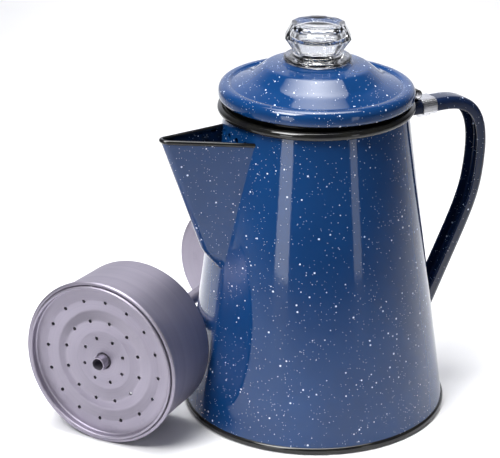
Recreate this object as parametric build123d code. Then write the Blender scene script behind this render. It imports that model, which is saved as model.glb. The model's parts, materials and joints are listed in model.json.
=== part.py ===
"""Enamelled camping percolator: pot with hinged lid, and its coffee basket on the pump stem lying beside it.

Millimetres. The origin is the middle of the pot's foot on the floor, +Z is up, +X runs to the handle and -X
to the spout. The basket and pump are drawn upright on their own axis and then laid on the floor.
"""

from build123d import *
import os
from math import asin, atan2, cos, degrees, radians, sin, sqrt, tan

# ---------------------------------------------------------------- driving dimensions
# pot
SHEET = 1.0  # enamelled steel sheet
FOOT_R = 71.0  # outside of the foot bead
WALL_FOOT_R = 70.4  # outside of the wall, carried down to the floor
WALL_TAPER = 0.1356  # radius lost per millimetre of height
BASE_BEAD_W = 4.0
BASE_BEAD_H = 3.8
RIM_Z = 167.2  # centre of the rolled rim
RIM_BEAD_R = 2.3

# spout
SPOUT_TOP_Z = 164.0  # lip at the nose
SPOUT_LIP_Z = 159.4  # lip where it meets the wall
SPOUT_NOSE_R = 89.8  # distance of the nose from the pot's axis
SPOUT_RIDGE_SLOPE = 0.35  # how much the ridge draws in per millimetre down
SPOUT_HALF_WIDTH = 17.8  # at the wall, at the lip
SPOUT_NOSE_ROUND = 4.0
SPOUT_LIP_ROLL = 1.0
SPOUT_ROOT_DEPTH = 3.0  # how far the drawn V runs into the wall before it is trimmed
STRAINER_HOLE_R = 1.65
STRAINER_PITCH = 9.0  # degrees round the wall
STRAINER_ROWS = ((157.0, 4), (151.0, 3), (145.0, 4), (139.0, 3), (133.0, 2))

# handle
HANDLE_W = 12.6
HANDLE_DEPTH = 6.6
HANDLE_SHEET = 1.2
HANDLE_TOP_Z = 160.3
HANDLE_OUT_X = 104.6
HANDLE_FOOT_Z = 27.0

# lid hinge
HINGE_X = 58.6
HINGE_Z = 165.0
HINGE_PIN_R = 1.1
HINGE_EYE_R = 2.6
HINGE_EYE_GAP = 0.05  # pin to eye
HINGE_SIDE_GAP = 0.25  # between neighbouring eyes
HINGE_LEAF_W = 6.0
HINGE_W = 12.4
CLIP_SHEET = 0.7
CLIP_LENGTH = 8.6
CLIP_X = 66.6  # middle of the clip along the handle
CLIP_TAIL = 3.2  # pinched ends below the handle
LID_AJAR = 1.0  # degrees that the lid stands open at rest

# lid, drawn shut
LID_BULGE_R = 50.9
LID_BULGE_TOP = 178.7
LID_UNDER_Z = 169.9  # underside of the bulge, just above the rolled rim
LID_SKIRT_R = 45.9
LID_SKIRT_Z = 163.5
LID_COLLAR_Z = 190.4  # seat of the knob's flange
LID_HOLE_R = 13.2
LID_NOTCH_R = 15.1
LID_NOTCH_ANGLE = 48.0

# glass knob, measured up from the underside of its flange
KNOB_SIDES = 12
KNOB_FLANGE_R = 17.5
KNOB_FLANGE_H = 2.3
KNOB_WAIST_R = 12.4
KNOB_WAIST_H = 5.4
KNOB_GIRDLE_R = 17.6
KNOB_GIRDLE_H = 12.1
KNOB_TOP_R = 14.0
KNOB_H = 19.5
KNOB_DISH_R = 10.4
KNOB_DISH_DEPTH = 1.6
KNOB_BORE_R = 9.4
KNOB_NECK_R = 12.7
KNOB_NECK_DEPTH = 5.6
KNOB_LUG_R = 14.6
KNOB_LUG_ANGLE = 40.0
KNOB_GAP = 0.3  # flange over collar, and lugs under the lid

# basket, spreader and pump, measured up from the pump's foot
PUMP_FOOT_R = 40.0
PUMP_FOOT_SHEET = 1.0
PUMP_DOME_R = 11.0
PUMP_DOME_H = 11.5
PUMP_H = 162.0
TUBE_R = 3.75
TUBE_BORE_R = 3.1
TUBE_START = 5.0
TUBE_STOP_Z = 115.4
TUBE_STOP_R = 1.1
BASKET_R = 43.1
BASKET_FLOOR_R = 42.2
BASKET_FLOOR_Z = 117.0
BASKET_SHEET = 0.8
BASKET_BEAD_Z = 159.0
BASKET_BEAD_MID_R = 43.5
BASKET_BEAD_R = 1.2
BASKET_HOLE_R = 0.9
BASKET_RINGS = ((10.0, 8), (17.0, 14), (24.0, 20), (31.0, 26), (37.5, 32))
SLEEVE_BORE_R = 4.05
SLEEVE_R = 4.9
SLEEVE_TOP = 154.0
SPREADER_Z = 157.0
SPREADER_SHEET = 0.7
SPREADER_RINGS = ((33.3, 16), (22.3, 12), (12.2, 8))
SPREADER_FIRST_HOLE = 108.5  # degrees
SPREADER_HOLE_R = 0.95
SPREADER_BORE_R = 4.4
SPREADER_WALL_R = 41.3
SPREADER_BEAD_MID_R = 41.6
SPREADER_BEAD_Z = 160.6
SPREADER_BEAD_R = 0.9

# how the basket and pump lie
PUMP_AZIMUTH = -145.75  # direction in which the stem's tip points
PUMP_OFFSET = 75.2  # from the pot's axis to the stem's axis
SPREADER_ALONG = 96.0  # the spreader's place along that direction
FLOOR_GAP = 0.05


# ---------------------------------------------------------------- helpers
def wall_r(z):
    """Outer radius of the pot's wall at height z."""
    return WALL_FOOT_R - WALL_TAPER * z


def turned(points):
    """Solid of revolution about Z from a closed outline of (radius, height) points."""
    return revolve(Plane.XZ * make_face(Polyline(*points, close=True)), axis=Axis.Z)


def turned_round(points, radii):
    """Solid of revolution whose closed outline has rounded corners."""
    outline = FilletPolyline(*points, radius=radii, close=True)
    return revolve(Plane.XZ * make_face(outline), axis=Axis.Z)


def ring(radius, height, section):
    """Ring of round section about Z."""
    return Pos(0, 0, height) * Torus(radius, section)


def sheet_outline(points, radii, thickness):
    """Face of constant thickness along a rounded line of points."""
    line = FilletPolyline(*points, radius=radii)
    return make_face(offset(line, thickness / 2, kind=Kind.ARC, side=Side.BOTH))


def pressed(points, radii, thickness=SHEET):
    """Sheet pressing turned about Z from the middle line of its section, with rounded edges."""
    return revolve(Plane.XZ * sheet_outline(points, radii, thickness), axis=Axis.Z)


def hole_ring(radius, count, hole_r, z, depth, first=0.0):
    """Round punches on a pitch circle."""
    punches = []
    for i in range(count):
        a = radians(first + 360.0 * i / count)
        punches.append(Pos(radius * cos(a), radius * sin(a), z) * Cylinder(hole_r, depth))
    return punches


# ---------------------------------------------------------------- pot
def make_pot_body():
    """Tapered wall with a rolled rim and the strainer holes behind the spout."""
    low = BASE_BEAD_H
    section = make_face(
        Polyline(
            (wall_r(low), low),
            (wall_r(RIM_Z), RIM_Z),
            (wall_r(RIM_Z) - SHEET, RIM_Z),
            (wall_r(low) - SHEET, low),
            close=True,
        )
    )
    bead_r = wall_r(RIM_Z) - SHEET + RIM_BEAD_R
    section += Pos(bead_r, RIM_Z) * Circle(RIM_BEAD_R)
    body = revolve(Plane.XZ * section, axis=Axis.Z)
    for z, count in STRAINER_ROWS:
        for i in range(count):
            turn = STRAINER_PITCH * (i - (count - 1) / 2)
            punch = Pos(-wall_r(z), 0, z) * Rot(0, 90, 0) * Cylinder(STRAINER_HOLE_R, 12)
            body -= Rot(0, 0, turn) * punch
    return body


def make_base_pan():
    """Pan under the wall: a flat disc that stands on the floor inside the rounded foot bead."""
    inner = FOOT_R - BASE_BEAD_W
    bead = turned_round(
        [(inner, 0), (FOOT_R, 0), (FOOT_R, BASE_BEAD_H), (inner, BASE_BEAD_H)],
        [1.5, 1.5, 1.5, 1.2],
    )
    disc = Pos(0, 0, SHEET / 2) * Cylinder(inner + 1.0, SHEET)
    return bead + disc


# ---------------------------------------------------------------- spout
def spout_nose_r(z):
    """Distance of the spout's ridge from the pot's axis, straight down to its rounded heel."""
    return SPOUT_NOSE_R - SPOUT_RIDGE_SLOPE * (SPOUT_TOP_Z - z)


def spout_half_width(z):
    """Half width of the spout where its sides meet the wall."""
    return SPOUT_HALF_WIDTH - 0.165 * (SPOUT_LIP_Z - z)


def spout_lean(z, nose):
    """Half angle of the V whose nose is rounded and whose sides meet the wall at the half width."""
    half = spout_half_width(z)
    root = sqrt(wall_r(z) ** 2 - half**2)
    lean = atan2(half, nose - root)
    for _ in range(20):
        tip = nose + SPOUT_NOSE_ROUND * (1 / sin(lean) - 1)
        lean = atan2(half, tip - root)
    return lean


def spout_section(z, nose, grow):
    """Horizontal V section with a rounded nose, grown outwards by grow, closed just inside the wall."""
    back = sqrt(wall_r(z) ** 2 - spout_half_width(z) ** 2) - SPOUT_ROOT_DEPTH
    lean = spout_lean(z, nose)
    round_r = SPOUT_NOSE_ROUND + grow
    tip = nose + grow + round_r * (1 / sin(lean) - 1)
    wide = (tip - back) * tan(lean)
    face = make_face(Polyline((-tip, 0), (-back, wide), (-back, -wide), close=True))
    corner = face.vertices().sort_by(Axis.X)[0]
    return Pos(0, 0, z) * fillet(corner, round_r)


def spout_skin(grow):
    """Solid V of the spout, from under its heel to above its lip."""
    heights = (SPOUT_TOP_Z + 6.0, 99.0, 90.5, 86.0)
    noses = (spout_nose_r(heights[0]), spout_nose_r(99.0), 60.6, 57.0)
    skin = None
    for i in range(3):
        upper = spout_section(heights[i], noses[i], grow)
        lower = spout_section(heights[i + 1], noses[i + 1], grow)
        piece = loft([upper, lower], ruled=True)
        skin = piece if skin is None else skin + piece
    return skin


def spout_lip_cut(drop=0.0):
    """Block above the spout's sloping lip, lowered by drop."""
    root_x = sqrt(wall_r(SPOUT_LIP_Z) ** 2 - SPOUT_HALF_WIDTH**2)
    slope = degrees(atan2(SPOUT_TOP_Z - SPOUT_LIP_Z, SPOUT_NOSE_R - root_x))
    block = Pos(0, 0, 50) * Box(200, 120, 100)
    return Pos(-root_x, 0, SPOUT_LIP_Z - drop) * Rot(0, slope, 0) * block


def pot_core():
    """Everything inside the pot's outer face, as a solid cone."""
    low, high = 5.0, 175.0
    return turned([(0, low), (wall_r(low), low), (wall_r(high), high), (0, high)])


def make_spout():
    """V pressing with a rolled lip, open at the top and towards the strainer holes."""
    outside = spout_skin(0.0)
    inside = spout_skin(-SHEET)
    shell = outside - inside - spout_lip_cut()
    roll = spout_skin(SPOUT_LIP_ROLL) - inside - spout_lip_cut()
    roll = roll & spout_lip_cut(2.4)
    spout = shell + roll - pot_core()
    return spout


# ---------------------------------------------------------------- handle
def handle_line(inset):
    """Side view of the handle: outer face moved inwards by inset."""
    top = HANDLE_TOP_Z - inset
    out = HANDLE_OUT_X - inset
    start = (wall_r(top) - 6.0, top)
    shoulder = (76.0, top)
    side = (out, 119.0)
    slope = 0.49  # of the straight lower run, radius per height
    lean = sqrt(1 + slope**2)
    foot_x = wall_r(HANDLE_FOOT_Z) - inset * lean
    foot = (foot_x - 8.0 * slope, HANDLE_FOOT_Z - 8.0)
    low = (foot_x + 50.0 * slope, HANDLE_FOOT_Z + 50.0)
    run = Line(start, shoulder)
    bend = Spline(shoulder, side, low, tangents=((1.0, 0.0), (-slope, -1.0)))
    leg = Line(low, foot)
    return run, bend, leg


def handle_profile(inset):
    """Face of everything inside the handle's outer line moved in by inset."""
    run, bend, leg = handle_line(inset)
    inside = Polyline(leg @ 1, (20.0, (leg @ 1).Y), (20.0, (run @ 0).Y), run @ 0)
    return make_face([run, bend, leg, inside])


def handle_slab(inset, width):
    """The side profile given a width along Y."""
    return extrude(Plane.XZ * handle_profile(inset), width / 2, both=True)


def make_handle():
    """Channel strap with its web outside and its two flanges turned towards the pot."""
    band = handle_slab(0, HANDLE_W) - handle_slab(HANDLE_DEPTH, HANDLE_W + 2)
    hollow = handle_slab(HANDLE_SHEET, HANDLE_W - 2 * HANDLE_SHEET)
    channel = band - hollow - pot_core()
    below = Pos(0, 0, 15) * Box(400, 400, 2 * (HANDLE_FOOT_Z - 15 - 0.4))
    return (channel - below).solids().sort_by(SortBy.VOLUME)[-1]


# ---------------------------------------------------------------- lid hinge
def block(x_min, x_max, y_min, y_max, z_min, z_max):
    """Box between two corners."""
    size = (x_max - x_min, y_max - y_min, z_max - z_min)
    middle = ((x_max + x_min) / 2, (y_max + y_min) / 2, (z_max + z_min) / 2)
    return Pos(*middle) * Box(*size)


def eye(y_min, y_max):
    """Curled hinge eye between two places along the pin."""
    barrel = Rot(90, 0, 0) * Cylinder(HINGE_EYE_R, y_max - y_min)
    return Pos(HINGE_X, (y_min + y_max) / 2, HINGE_Z) * barrel


def pin_bore():
    """Bore of the eyes, with running clearance round the pin."""
    bore = Rot(90, 0, 0) * Cylinder(HINGE_PIN_R + HINGE_EYE_GAP, 2 * HINGE_W)
    return Pos(HINGE_X, 0, HINGE_Z) * bore


def leaf(points, radii, thickness, y_min, y_max):
    """Bent strip with the given side view, between two places along the pin."""
    face = Plane.XZ * sheet_outline(points, radii, thickness)
    return Pos(0, (y_min + y_max) / 2, 0) * extrude(face, (y_max - y_min) / 2, both=True)


def make_hinge_clip():
    """Strap round the handle with pinched ends below and a leaf curled round the pin."""
    x_min, x_max = CLIP_X - CLIP_LENGTH / 2, CLIP_X + CLIP_LENGTH / 2
    half = HANDLE_W / 2
    low = HANDLE_TOP_Z - HANDLE_DEPTH
    sheet = CLIP_SHEET
    strap = block(x_min, x_max, -half - sheet, half + sheet, low - sheet, HANDLE_TOP_Z + sheet)
    strap = fillet(strap.edges().filter_by(Axis.X), 1.2)
    strap -= block(x_min - 1, x_max + 1, -half, half, low, HANDLE_TOP_Z)
    tail = block(x_min, x_max, -sheet, sheet, low - sheet - CLIP_TAIL, low - sheet / 2)
    tail = fillet(tail.edges().filter_by(Axis.Y).sort_by(Axis.Z)[:2], 2.0)
    mid_z = HANDLE_TOP_Z + sheet / 2
    strip = leaf(
        [(CLIP_X, mid_z), (x_min + 0.3, mid_z), (HINGE_X + 1.2, HINGE_Z - HINGE_EYE_R + 0.5)],
        [0.8],
        sheet,
        -HINGE_LEAF_W / 2,
        HINGE_LEAF_W / 2,
    )
    return strap + tail + strip + eye(-HINGE_LEAF_W / 2, HINGE_LEAF_W / 2) - pin_bore()


def make_hinge_pin():
    """Pin with a small head at each end."""
    length = HINGE_W + 2 * 0.3
    pin = Rot(90, 0, 0) * Cylinder(HINGE_PIN_R, length)
    for side in (-1, 1):
        head = Rot(90, 0, 0) * Cylinder(HINGE_PIN_R + 0.7, 0.6)
        pin += Pos(0, side * (length / 2 + 0.3), 0) * head
    return Pos(HINGE_X, 0, HINGE_Z) * pin


def make_lid_hinge_tab():
    """Black tab at the back of the lid, forked into two eyes beside the clip's leaf."""
    inner = HINGE_LEAF_W / 2 + HINGE_SIDE_GAP
    tab = leaf([(49.5, 173.6), (54.6, 172.0), (56.9, HINGE_Z + 1.2)], [1.6], 0.9, -HINGE_W / 2, HINGE_W / 2)
    slot = block(HINGE_X - 6, HINGE_X + 6, -inner, inner, HINGE_Z - 5, HINGE_Z + HINGE_EYE_R + 0.4)
    tab -= slot
    for side in (-1, 1):
        low, high = sorted((side * inner, side * HINGE_W / 2))
        tab += eye(low, high)
    return tab - pin_bore() - lid_filled()


# ---------------------------------------------------------------- lid
def lid_points():
    """Middle line of the lid's pressing, from the skirt's edge to the knob hole, with its corner radii."""
    half = SHEET / 2
    corners = [
        ((LID_SKIRT_R - half, LID_SKIRT_Z + half), None),
        ((LID_SKIRT_R - half, LID_UNDER_Z + half), 1.0),
        ((LID_BULGE_R - half, LID_UNDER_Z + half), 2.4),
        ((LID_BULGE_R - half, LID_BULGE_TOP - half), 3.6),
        ((45.6, LID_BULGE_TOP - half), 0.8),
        ((44.4, 177.3), 0.7),
        ((34.5, 181.5), 14.0),
        ((26.8, 187.6), 4.5),
        ((18.6, 188.9), 1.0),
        ((16.8, LID_COLLAR_Z - half), 0.9),
        ((LID_HOLE_R + half, LID_COLLAR_Z - half), None),
    ]
    points = [point for point, _ in corners]
    radii = [radius for _, radius in corners if radius is not None]
    return points, radii


def lid_filled():
    """Lid without its hollow, used to trim what is welded to it."""
    points, radii = lid_points()
    closed = [(0, LID_SKIRT_Z), *points, (0, points[-1][1])]
    core = turned_round(closed, [0, 0, *radii, 0, 0])
    return core + pressed(points, radii)


def sector(radius, angle, z_min, z_max, middle):
    """Pie slice about Z, its middle at the given azimuth."""
    face = make_face(
        [
            Line((0, 0), (radius * cos(radians(-angle / 2)), radius * sin(radians(-angle / 2)))),
            CenterArc((0, 0), radius, -angle / 2, angle),
            Line((radius * cos(radians(angle / 2)), radius * sin(radians(angle / 2))), (0, 0)),
        ]
    )
    return Rot(0, 0, middle) * Pos(0, 0, z_min) * extrude(face, z_max - z_min)


def make_lid_shell():
    """One pressing: skirt, bulge, ogee and collar, with two notches for the knob's lugs."""
    points, radii = lid_points()
    shell = pressed(points, radii)
    for middle in (90, 270):
        shell -= sector(LID_NOTCH_R, LID_NOTCH_ANGLE, LID_COLLAR_Z - 4, LID_COLLAR_Z + 2, middle)
    return shell


def make_glass_knob():
    """Hollow cut-glass knob: flange, waist, twelve-sided crown with a dish, neck and two lugs."""
    seat = LID_COLLAR_Z + KNOB_GAP
    foot = turned_round(
        [
            (0, -KNOB_NECK_DEPTH),
            (KNOB_NECK_R, -KNOB_NECK_DEPTH),
            (KNOB_NECK_R, 0),
            (KNOB_FLANGE_R, 0),
            (KNOB_FLANGE_R, KNOB_FLANGE_H),
            (KNOB_WAIST_R + 0.6, KNOB_FLANGE_H + 0.6),
            (KNOB_WAIST_R, KNOB_WAIST_H + 1.0),
            (0, KNOB_WAIST_H + 1.0),
        ],
        [0, 0.8, 0, 0.9, 0.9, 1.2, 0, 0],
    )
    turn = 180 / KNOB_SIDES

    def sides(radius, height):
        return Pos(0, 0, height) * Rot(0, 0, turn) * RegularPolygon(radius, KNOB_SIDES)

    belly = loft([sides(KNOB_WAIST_R + 0.7, KNOB_WAIST_H), sides(KNOB_GIRDLE_R, KNOB_GIRDLE_H)], ruled=True)
    crown = loft([sides(KNOB_GIRDLE_R, KNOB_GIRDLE_H), sides(KNOB_TOP_R, KNOB_H)], ruled=True)
    ball_r = (KNOB_DISH_R**2 + KNOB_DISH_DEPTH**2) / (2 * KNOB_DISH_DEPTH)
    dish = Pos(0, 0, KNOB_H - KNOB_DISH_DEPTH + ball_r) * Sphere(ball_r)
    top = KNOB_H - 4.2
    hollow = turned_round(
        [
            (0, -KNOB_NECK_DEPTH - 1),
            (KNOB_BORE_R, -KNOB_NECK_DEPTH - 1),
            (KNOB_BORE_R, KNOB_WAIST_H),
            (KNOB_BORE_R + 2.0, KNOB_GIRDLE_H),
            (KNOB_BORE_R + 0.6, top),
            (0, top),
        ],
        [0, 0, 2.0, 2.0, 3.0, 0],
    )
    knob = foot + belly + crown - dish
    lug_top = LID_COLLAR_Z - SHEET - KNOB_GAP - seat
    for middle in (0, 180):
        lug = sector(KNOB_LUG_R, KNOB_LUG_ANGLE, lug_top - 2.0, lug_top, middle)
        knob += lug
    return Pos(0, 0, seat) * (knob - hollow)


# ---------------------------------------------------------------- basket and pump
def make_basket_cup():
    """Cup with a punched floor and a rolled rim."""
    half = BASKET_SHEET / 2
    cup = pressed(
        [
            (SLEEVE_BORE_R + half, BASKET_FLOOR_Z + half),
            (BASKET_FLOOR_R - half, BASKET_FLOOR_Z + half),
            (BASKET_R - half, BASKET_BEAD_Z),
        ],
        [3.0],
        BASKET_SHEET,
    )
    cup += ring(BASKET_BEAD_MID_R, BASKET_BEAD_Z, BASKET_BEAD_R)
    cup -= Pos(0, 0, BASKET_FLOOR_Z) * Cylinder(SLEEVE_R, 10)
    for radius, count in BASKET_RINGS:
        for punch in hole_ring(radius, count, BASKET_HOLE_R, BASKET_FLOOR_Z, 6):
            cup -= punch
    return cup


def make_basket_sleeve():
    """Sleeve swaged into the middle of the basket's floor, a running fit on the stem."""
    low = BASKET_FLOOR_Z - 0.2
    sleeve = Pos(0, 0, (low + SLEEVE_TOP) / 2) * Cylinder(SLEEVE_R, SLEEVE_TOP - low)
    flange_z = BASKET_FLOOR_Z + BASKET_SHEET
    sleeve += Pos(0, 0, flange_z + 0.5) * Cylinder(SLEEVE_R + 1.6, 1.0)
    bore = Pos(0, 0, (low + SLEEVE_TOP) / 2) * Cylinder(SLEEVE_BORE_R, SLEEVE_TOP - low + 2)
    return sleeve - bore


def make_spreader_plate():
    """Corrugated water spreader with rings of small holes and a rolled edge."""
    plate = pressed(
        [
            (SPREADER_BORE_R + SPREADER_SHEET / 2, SPREADER_Z - 0.9),
            (16.0, SPREADER_Z - 1.5),
            (22.5, SPREADER_Z - 0.1),
            (27.8, SPREADER_Z - 1.7),
            (33.6, SPREADER_Z),
            (SPREADER_WALL_R, SPREADER_Z),
            (SPREADER_WALL_R, SPREADER_BEAD_Z),
        ],
        [2.5, 1.6, 1.6, 1.6, 1.2],
        SPREADER_SHEET,
    )
    plate += ring(SPREADER_BEAD_MID_R, SPREADER_BEAD_Z, SPREADER_BEAD_R)
    for radius, count in SPREADER_RINGS:
        for punch in hole_ring(radius, count, SPREADER_HOLE_R, SPREADER_Z, 8, SPREADER_FIRST_HOLE):
            plate -= punch
    return plate


def make_stem_tube():
    """Pump tube with the rolled stop that carries the basket."""
    tube = Pos(0, 0, (TUBE_START + PUMP_H) / 2) * Cylinder(TUBE_R, PUMP_H - TUBE_START)
    tube += ring(TUBE_R - 0.2, TUBE_STOP_Z, TUBE_STOP_R)
    return tube - Pos(0, 0, PUMP_H / 2) * Cylinder(TUBE_BORE_R, PUMP_H + 2)


def make_stem_foot():
    """Dished foot with a boiling dome in the middle and four notches in its turned-down edge."""
    half = PUMP_FOOT_SHEET / 2
    foot = pressed(
        [
            (PUMP_FOOT_R - half, half),
            (PUMP_FOOT_R - half, 4.6),
            (PUMP_DOME_R + 4.0, 5.4),
            (PUMP_DOME_R, PUMP_DOME_H - half),
            (TUBE_R, PUMP_DOME_H - half),
        ],
        [1.8, 1.5, 2.0],
        PUMP_FOOT_SHEET,
    )
    foot -= Pos(0, 0, PUMP_DOME_H) * Cylinder(TUBE_R, 8)
    for i in range(4):
        notch = Pos(PUMP_FOOT_R, 0, 0) * Rot(0, 90, 0) * Cylinder(1.6, 6)
        foot -= Rot(0, 0, 45 + 90 * i) * notch
    return foot


def make_stem_ferrule():
    """Ring that stakes the tube into the foot."""
    ferrule = Pos(0, 0, PUMP_DOME_H + 1.3) * Cylinder(TUBE_R + 1.8, 2.6)
    ferrule = fillet(ferrule.edges().sort_by(Axis.Z)[-1], 0.8)
    return ferrule - Pos(0, 0, PUMP_DOME_H) * Cylinder(TUBE_R, 12)


# ---------------------------------------------------------------- places
def lid_place():
    """Turns what is drawn with the lid shut to the lid's rest angle about the hinge pin."""
    return Pos(HINGE_X, 0, HINGE_Z) * Rot(0, LID_AJAR, 0) * Pos(-HINGE_X, 0, -HINGE_Z)


def pump_place():
    """Lays the pump down so that its foot and the basket's rim touch the floor beside the pot."""
    rim_r = BASKET_BEAD_MID_R + BASKET_BEAD_R
    rise = asin((rim_r - PUMP_FOOT_R) / BASKET_BEAD_Z)
    azimuth = radians(PUMP_AZIMUTH)
    along = Vector(cos(azimuth), sin(azimuth), 0)
    aside = Vector(along.Y, -along.X, 0)
    axis = along * cos(rise) + Vector(0, 0, sin(rise))
    foot = along * (SPREADER_ALONG - SPREADER_Z * cos(rise)) + aside * PUMP_OFFSET
    foot += Vector(0, 0, PUMP_FOOT_R + FLOOR_GAP)
    return Plane(origin=foot, x_dir=Vector(-along.Y, along.X, 0), z_dir=axis).location


POT_NODES = {
    "pot_body": make_pot_body,
    "base_pan": make_base_pan,
    "spout": make_spout,
    "handle": make_handle,
    "hinge_clip": make_hinge_clip,
    "hinge_pin": make_hinge_pin,
}
LID_NODES = {
    "lid_shell": make_lid_shell,
    "lid_hinge_tab": make_lid_hinge_tab,
    "glass_knob": make_glass_knob,
}
PUMP_NODES = {
    "basket_cup": make_basket_cup,
    "basket_sleeve": make_basket_sleeve,
    "spreader_plate": make_spreader_plate,
    "stem_tube": make_stem_tube,
    "stem_foot": make_stem_foot,
    "stem_ferrule": make_stem_ferrule,
}


def main():
    os.makedirs("parts", exist_ok=True)
    groups = ((Location(), POT_NODES), (lid_place(), LID_NODES), (pump_place(), PUMP_NODES))
    for place, nodes in groups:
        for name, make in nodes.items():
            export_step(place * make(), f"parts/{name}.step")


main()
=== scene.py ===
"""Enamelled camping percolator with its basket and pump lying beside it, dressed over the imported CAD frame.

Shapes are drawn in millimetres in three local frames (pot, lid, pump) and set down by each piece's matrix.
"""

import bpy
import bmesh
import json
from math import asin, atan2, ceil, cos, degrees, pi, radians, sin, sqrt
from mathutils import Matrix, Vector


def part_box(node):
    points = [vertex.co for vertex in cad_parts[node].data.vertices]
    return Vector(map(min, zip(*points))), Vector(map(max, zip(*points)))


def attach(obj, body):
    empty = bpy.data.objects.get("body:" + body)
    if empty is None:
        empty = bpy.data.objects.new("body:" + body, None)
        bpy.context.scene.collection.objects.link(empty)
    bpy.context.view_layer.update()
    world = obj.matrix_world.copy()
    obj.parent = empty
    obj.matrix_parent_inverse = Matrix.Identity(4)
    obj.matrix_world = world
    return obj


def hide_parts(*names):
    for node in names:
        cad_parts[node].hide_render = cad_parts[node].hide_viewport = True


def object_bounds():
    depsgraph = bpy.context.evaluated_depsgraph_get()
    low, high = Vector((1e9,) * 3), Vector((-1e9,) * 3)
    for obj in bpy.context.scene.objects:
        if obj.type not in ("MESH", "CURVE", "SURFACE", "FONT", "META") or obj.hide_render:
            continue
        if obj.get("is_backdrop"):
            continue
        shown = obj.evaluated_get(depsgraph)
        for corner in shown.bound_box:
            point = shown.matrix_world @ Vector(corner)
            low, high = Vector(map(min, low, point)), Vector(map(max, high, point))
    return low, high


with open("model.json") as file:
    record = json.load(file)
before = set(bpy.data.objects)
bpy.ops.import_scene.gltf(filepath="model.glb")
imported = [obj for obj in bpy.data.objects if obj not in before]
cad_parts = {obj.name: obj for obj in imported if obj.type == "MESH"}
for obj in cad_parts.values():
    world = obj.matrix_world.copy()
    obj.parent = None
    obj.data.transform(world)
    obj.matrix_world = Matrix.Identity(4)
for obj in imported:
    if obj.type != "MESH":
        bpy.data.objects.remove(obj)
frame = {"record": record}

CAD_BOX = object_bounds()
MM = 0.001

# ---------------------------------------------------------------- sizes read from the frame
JOINTS = {joint["name"]: joint for joint in frame["record"]["behaviour"]["joints"]}


def box_mm(node):
    """Corners of a CAD node in millimetres."""
    low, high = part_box(node)
    return low / MM, high / MM


POT_HIGH = box_mm("pot_body")[1]
PAN_HIGH = box_mm("base_pan")[1]
FOOT_R = PAN_HIGH.x
BEAD_H = PAN_HIGH.z
RIM_TOP = POT_HIGH.z

# ---------------------------------------------------------------- sizes that the frame doesn't give
# millimetres and degrees; the basket's and pump's heights are from the underside of the pump's foot
SHEET = 1.0
RIM_BEAD_R = 2.3
RIM_Z = RIM_TOP - RIM_BEAD_R
WALL_TAPER = 0.1356  # radius lost per millimetre of height
WALL_FOOT_R = POT_HIGH.x + WALL_TAPER * BEAD_H
BASE_BEAD_W = 4.0

SPOUT_TOP_Z = 164.0
SPOUT_LIP_Z = 159.4
SPOUT_NOSE_R = 89.8
SPOUT_RIDGE_SLOPE = 0.35
SPOUT_HALF_WIDTH = 17.8
SPOUT_SIDE_SLOPE = 0.165
SPOUT_HEEL_LOW = 87.0
SPOUT_SINK = 0.4  # how far its sides go into the wall's sheet
SPOUT_LIP_DROP = 1.15
SPOUT_LIP_R = 1.1
SPOUT_INSIDE_SHADE = 0.47  # navy painted on the spout's inner side: painted shade inside the spout
SPOUT_NOSE_ROUND = 4.0
STRAINER_HOLE_R = 1.65
STRAINER_PITCH = 9.0
STRAINER_ROWS = ((157.0, 4), (151.0, 3), (145.0, 4), (139.0, 3), (133.0, 2))

HANDLE_W = 12.6
HANDLE_DEPTH = 6.6
HANDLE_SHEET = 1.2
HANDLE_TOP_Z = 160.3
HANDLE_OUT_X = 104.6
HANDLE_FOOT_Z = 27.0
HANDLE_SLOPE = 0.49  # how far the lower run draws in per millimetre down
HANDLE_SINK = 0.4  # how far its ends go into the wall's sheet
HANDLE_CROWN = 3.0
HANDLE_PAINTED_SHADE = 0.36  # navy painted over the whole handle: painted shade
HANDLE_PULLS = (1.8, 1.4)  # how strongly the bend's two ends hold their direction

CLIP_SHEET = 0.7
CLIP_TAIL = 3.2
CLIP_LENGTH = 8.6
CLIP_X = 66.6
TAB_SHEET = 0.9
HINGE_GAP = 0.25
HINGE = Vector((JOINTS["lid_hinge"]["pos_m"][0], JOINTS["lid_hinge"]["pos_m"][2])) / MM
EYE_R = 2.6
PIN_R = 1.1
LEAF_W = 6.0
HINGE_W = 12.4

LID_COLLAR_Z = 190.4
LID_NOTCH_R = 15.1
LID_NOTCH_ANGLE = 48.0
KNOB_SIDES = 12
KNOB_FLANGE_R = 17.5
KNOB_FLANGE_H = 2.3
KNOB_WAIST_R = 12.4
KNOB_WAIST_H = 5.4
KNOB_GIRDLE_R = 17.6
KNOB_GIRDLE_H = 12.1
KNOB_TOP_R = 14.0
KNOB_H = 19.5
KNOB_DISH_R = 10.4
KNOB_DISH_DEPTH = 1.6
KNOB_BORE_R = 9.4
KNOB_NECK_R = 12.7
KNOB_NECK_DEPTH = 5.6
KNOB_LUG_R = 14.6
KNOB_LUG_ANGLE = 40.0
KNOB_LUG_LOW = -3.75
KNOB_LUG_HIGH = -1.55
KNOB_FIRE_ROUND = 2.0  # rounding of the facets' corners
KNOB_SEAT = LID_COLLAR_Z + 0.3

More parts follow.
